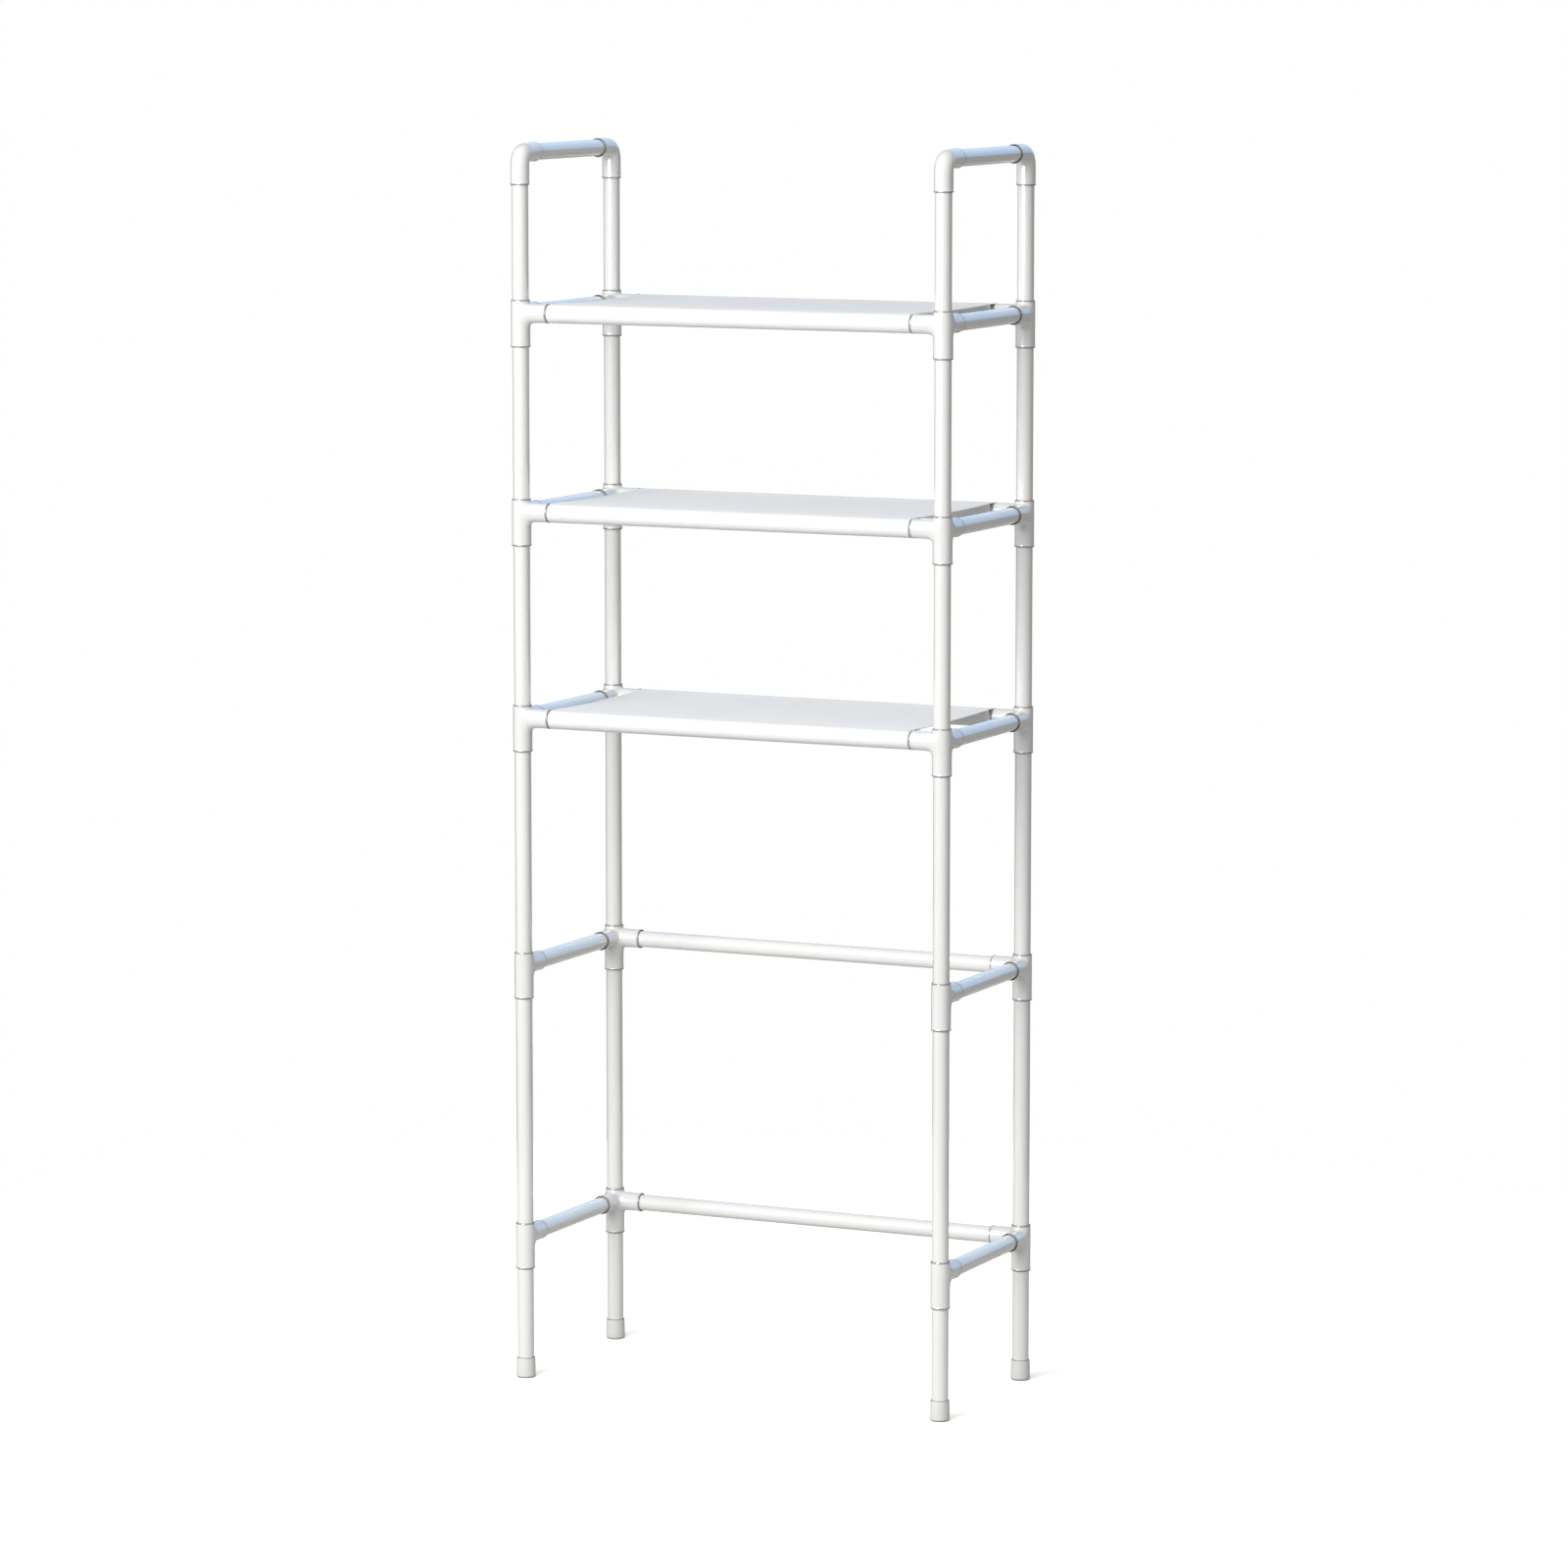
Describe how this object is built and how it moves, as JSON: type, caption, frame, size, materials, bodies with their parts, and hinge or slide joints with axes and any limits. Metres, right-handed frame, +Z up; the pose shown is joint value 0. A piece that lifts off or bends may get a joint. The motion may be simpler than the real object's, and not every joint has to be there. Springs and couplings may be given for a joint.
{
  "type": "over the toilet storage rack",
  "caption": "Tall free-standing rack of push-fit plastic tube with cloth shelves, open below at the front to stand over a toilet.",
  "frame": {"origin": "on the floor, at the middle of the four feet", "axes": "+Z up the posts, +X along the shelves to the right as seen from the front, +Y towards the back; the open front is at -Y"},
  "size_m": [0.6158, 0.2858, 1.6036],
  "materials": {
    "tube": "extruded, glossy",
    "fitting": "moulded, glossy",
    "foot_cap": "moulded, satin",
    "shelf_cloth": "woven, coated"
  },
  "bodies": {
    "root": {"elbow_front_left": "fitting", "elbow_front_right": "fitting", "elbow_back_left": "fitting", "elbow_back_right": "fitting", "top_shelf_connector_front_left": "fitting", "top_shelf_connector_front_right": "fitting", "top_shelf_connector_back_left": "fitting", "top_shelf_connector_back_right": "fitting", "middle_shelf_connector_front_left": "fitting", "middle_shelf_connector_front_right": "fitting", "middle_shelf_connector_back_left": "fitting", "middle_shelf_connector_back_right": "fitting", "bottom_shelf_connector_front_left": "fitting", "bottom_shelf_connector_front_right": "fitting", "bottom_shelf_connector_back_left": "fitting", "bottom_shelf_connector_back_right": "fitting", "upper_brace_tee_front_left": "fitting", "upper_brace_tee_front_right": "fitting", "lower_brace_tee_front_left": "fitting", "lower_brace_tee_front_right": "fitting", "upper_brace_connector_back_left": "fitting", "upper_brace_connector_back_right": "fitting", "lower_brace_connector_back_left": "fitting", "lower_brace_connector_back_right": "fitting", "foot_cap_front_left": "foot_cap", "foot_cap_front_right": "foot_cap", "foot_cap_back_left": "foot_cap", "foot_cap_back_right": "foot_cap", "front_post_tubes_below_handle": "tube", "back_post_tubes_below_handle": "tube", "front_post_tubes_below_top_shelf": "tube", "back_post_tubes_below_top_shelf": "tube", "front_post_tubes_below_middle_shelf": "tube", "back_post_tubes_below_middle_shelf": "tube", "front_post_tubes_below_bottom_shelf": "tube", "back_post_tubes_below_bottom_shelf": "tube", "front_post_tubes_below_upper_brace": "tube", "back_post_tubes_below_upper_brace": "tube", "front_post_tubes_below_lower_brace": "tube", "back_post_tubes_below_lower_brace": "tube", "handle_bar_left": "tube", "handle_bar_right": "tube", "top_shelf_side_rails": "tube", "middle_shelf_side_rails": "tube", "bottom_shelf_side_rails": "tube", "upper_brace_side_rails": "tube", "lower_brace_side_rails": "tube", "top_shelf_front_rail": "tube", "middle_shelf_front_rail": "tube", "bottom_shelf_front_rail": "tube", "top_shelf_back_rail": "tube", "middle_shelf_back_rail": "tube", "bottom_shelf_back_rail": "tube", "upper_brace_back_rail": "tube", "lower_brace_back_rail": "tube", "top_shelf_cover": "shelf_cloth", "middle_shelf_cover": "shelf_cloth", "bottom_shelf_cover": "shelf_cloth"}
  },
  "joints": []
}
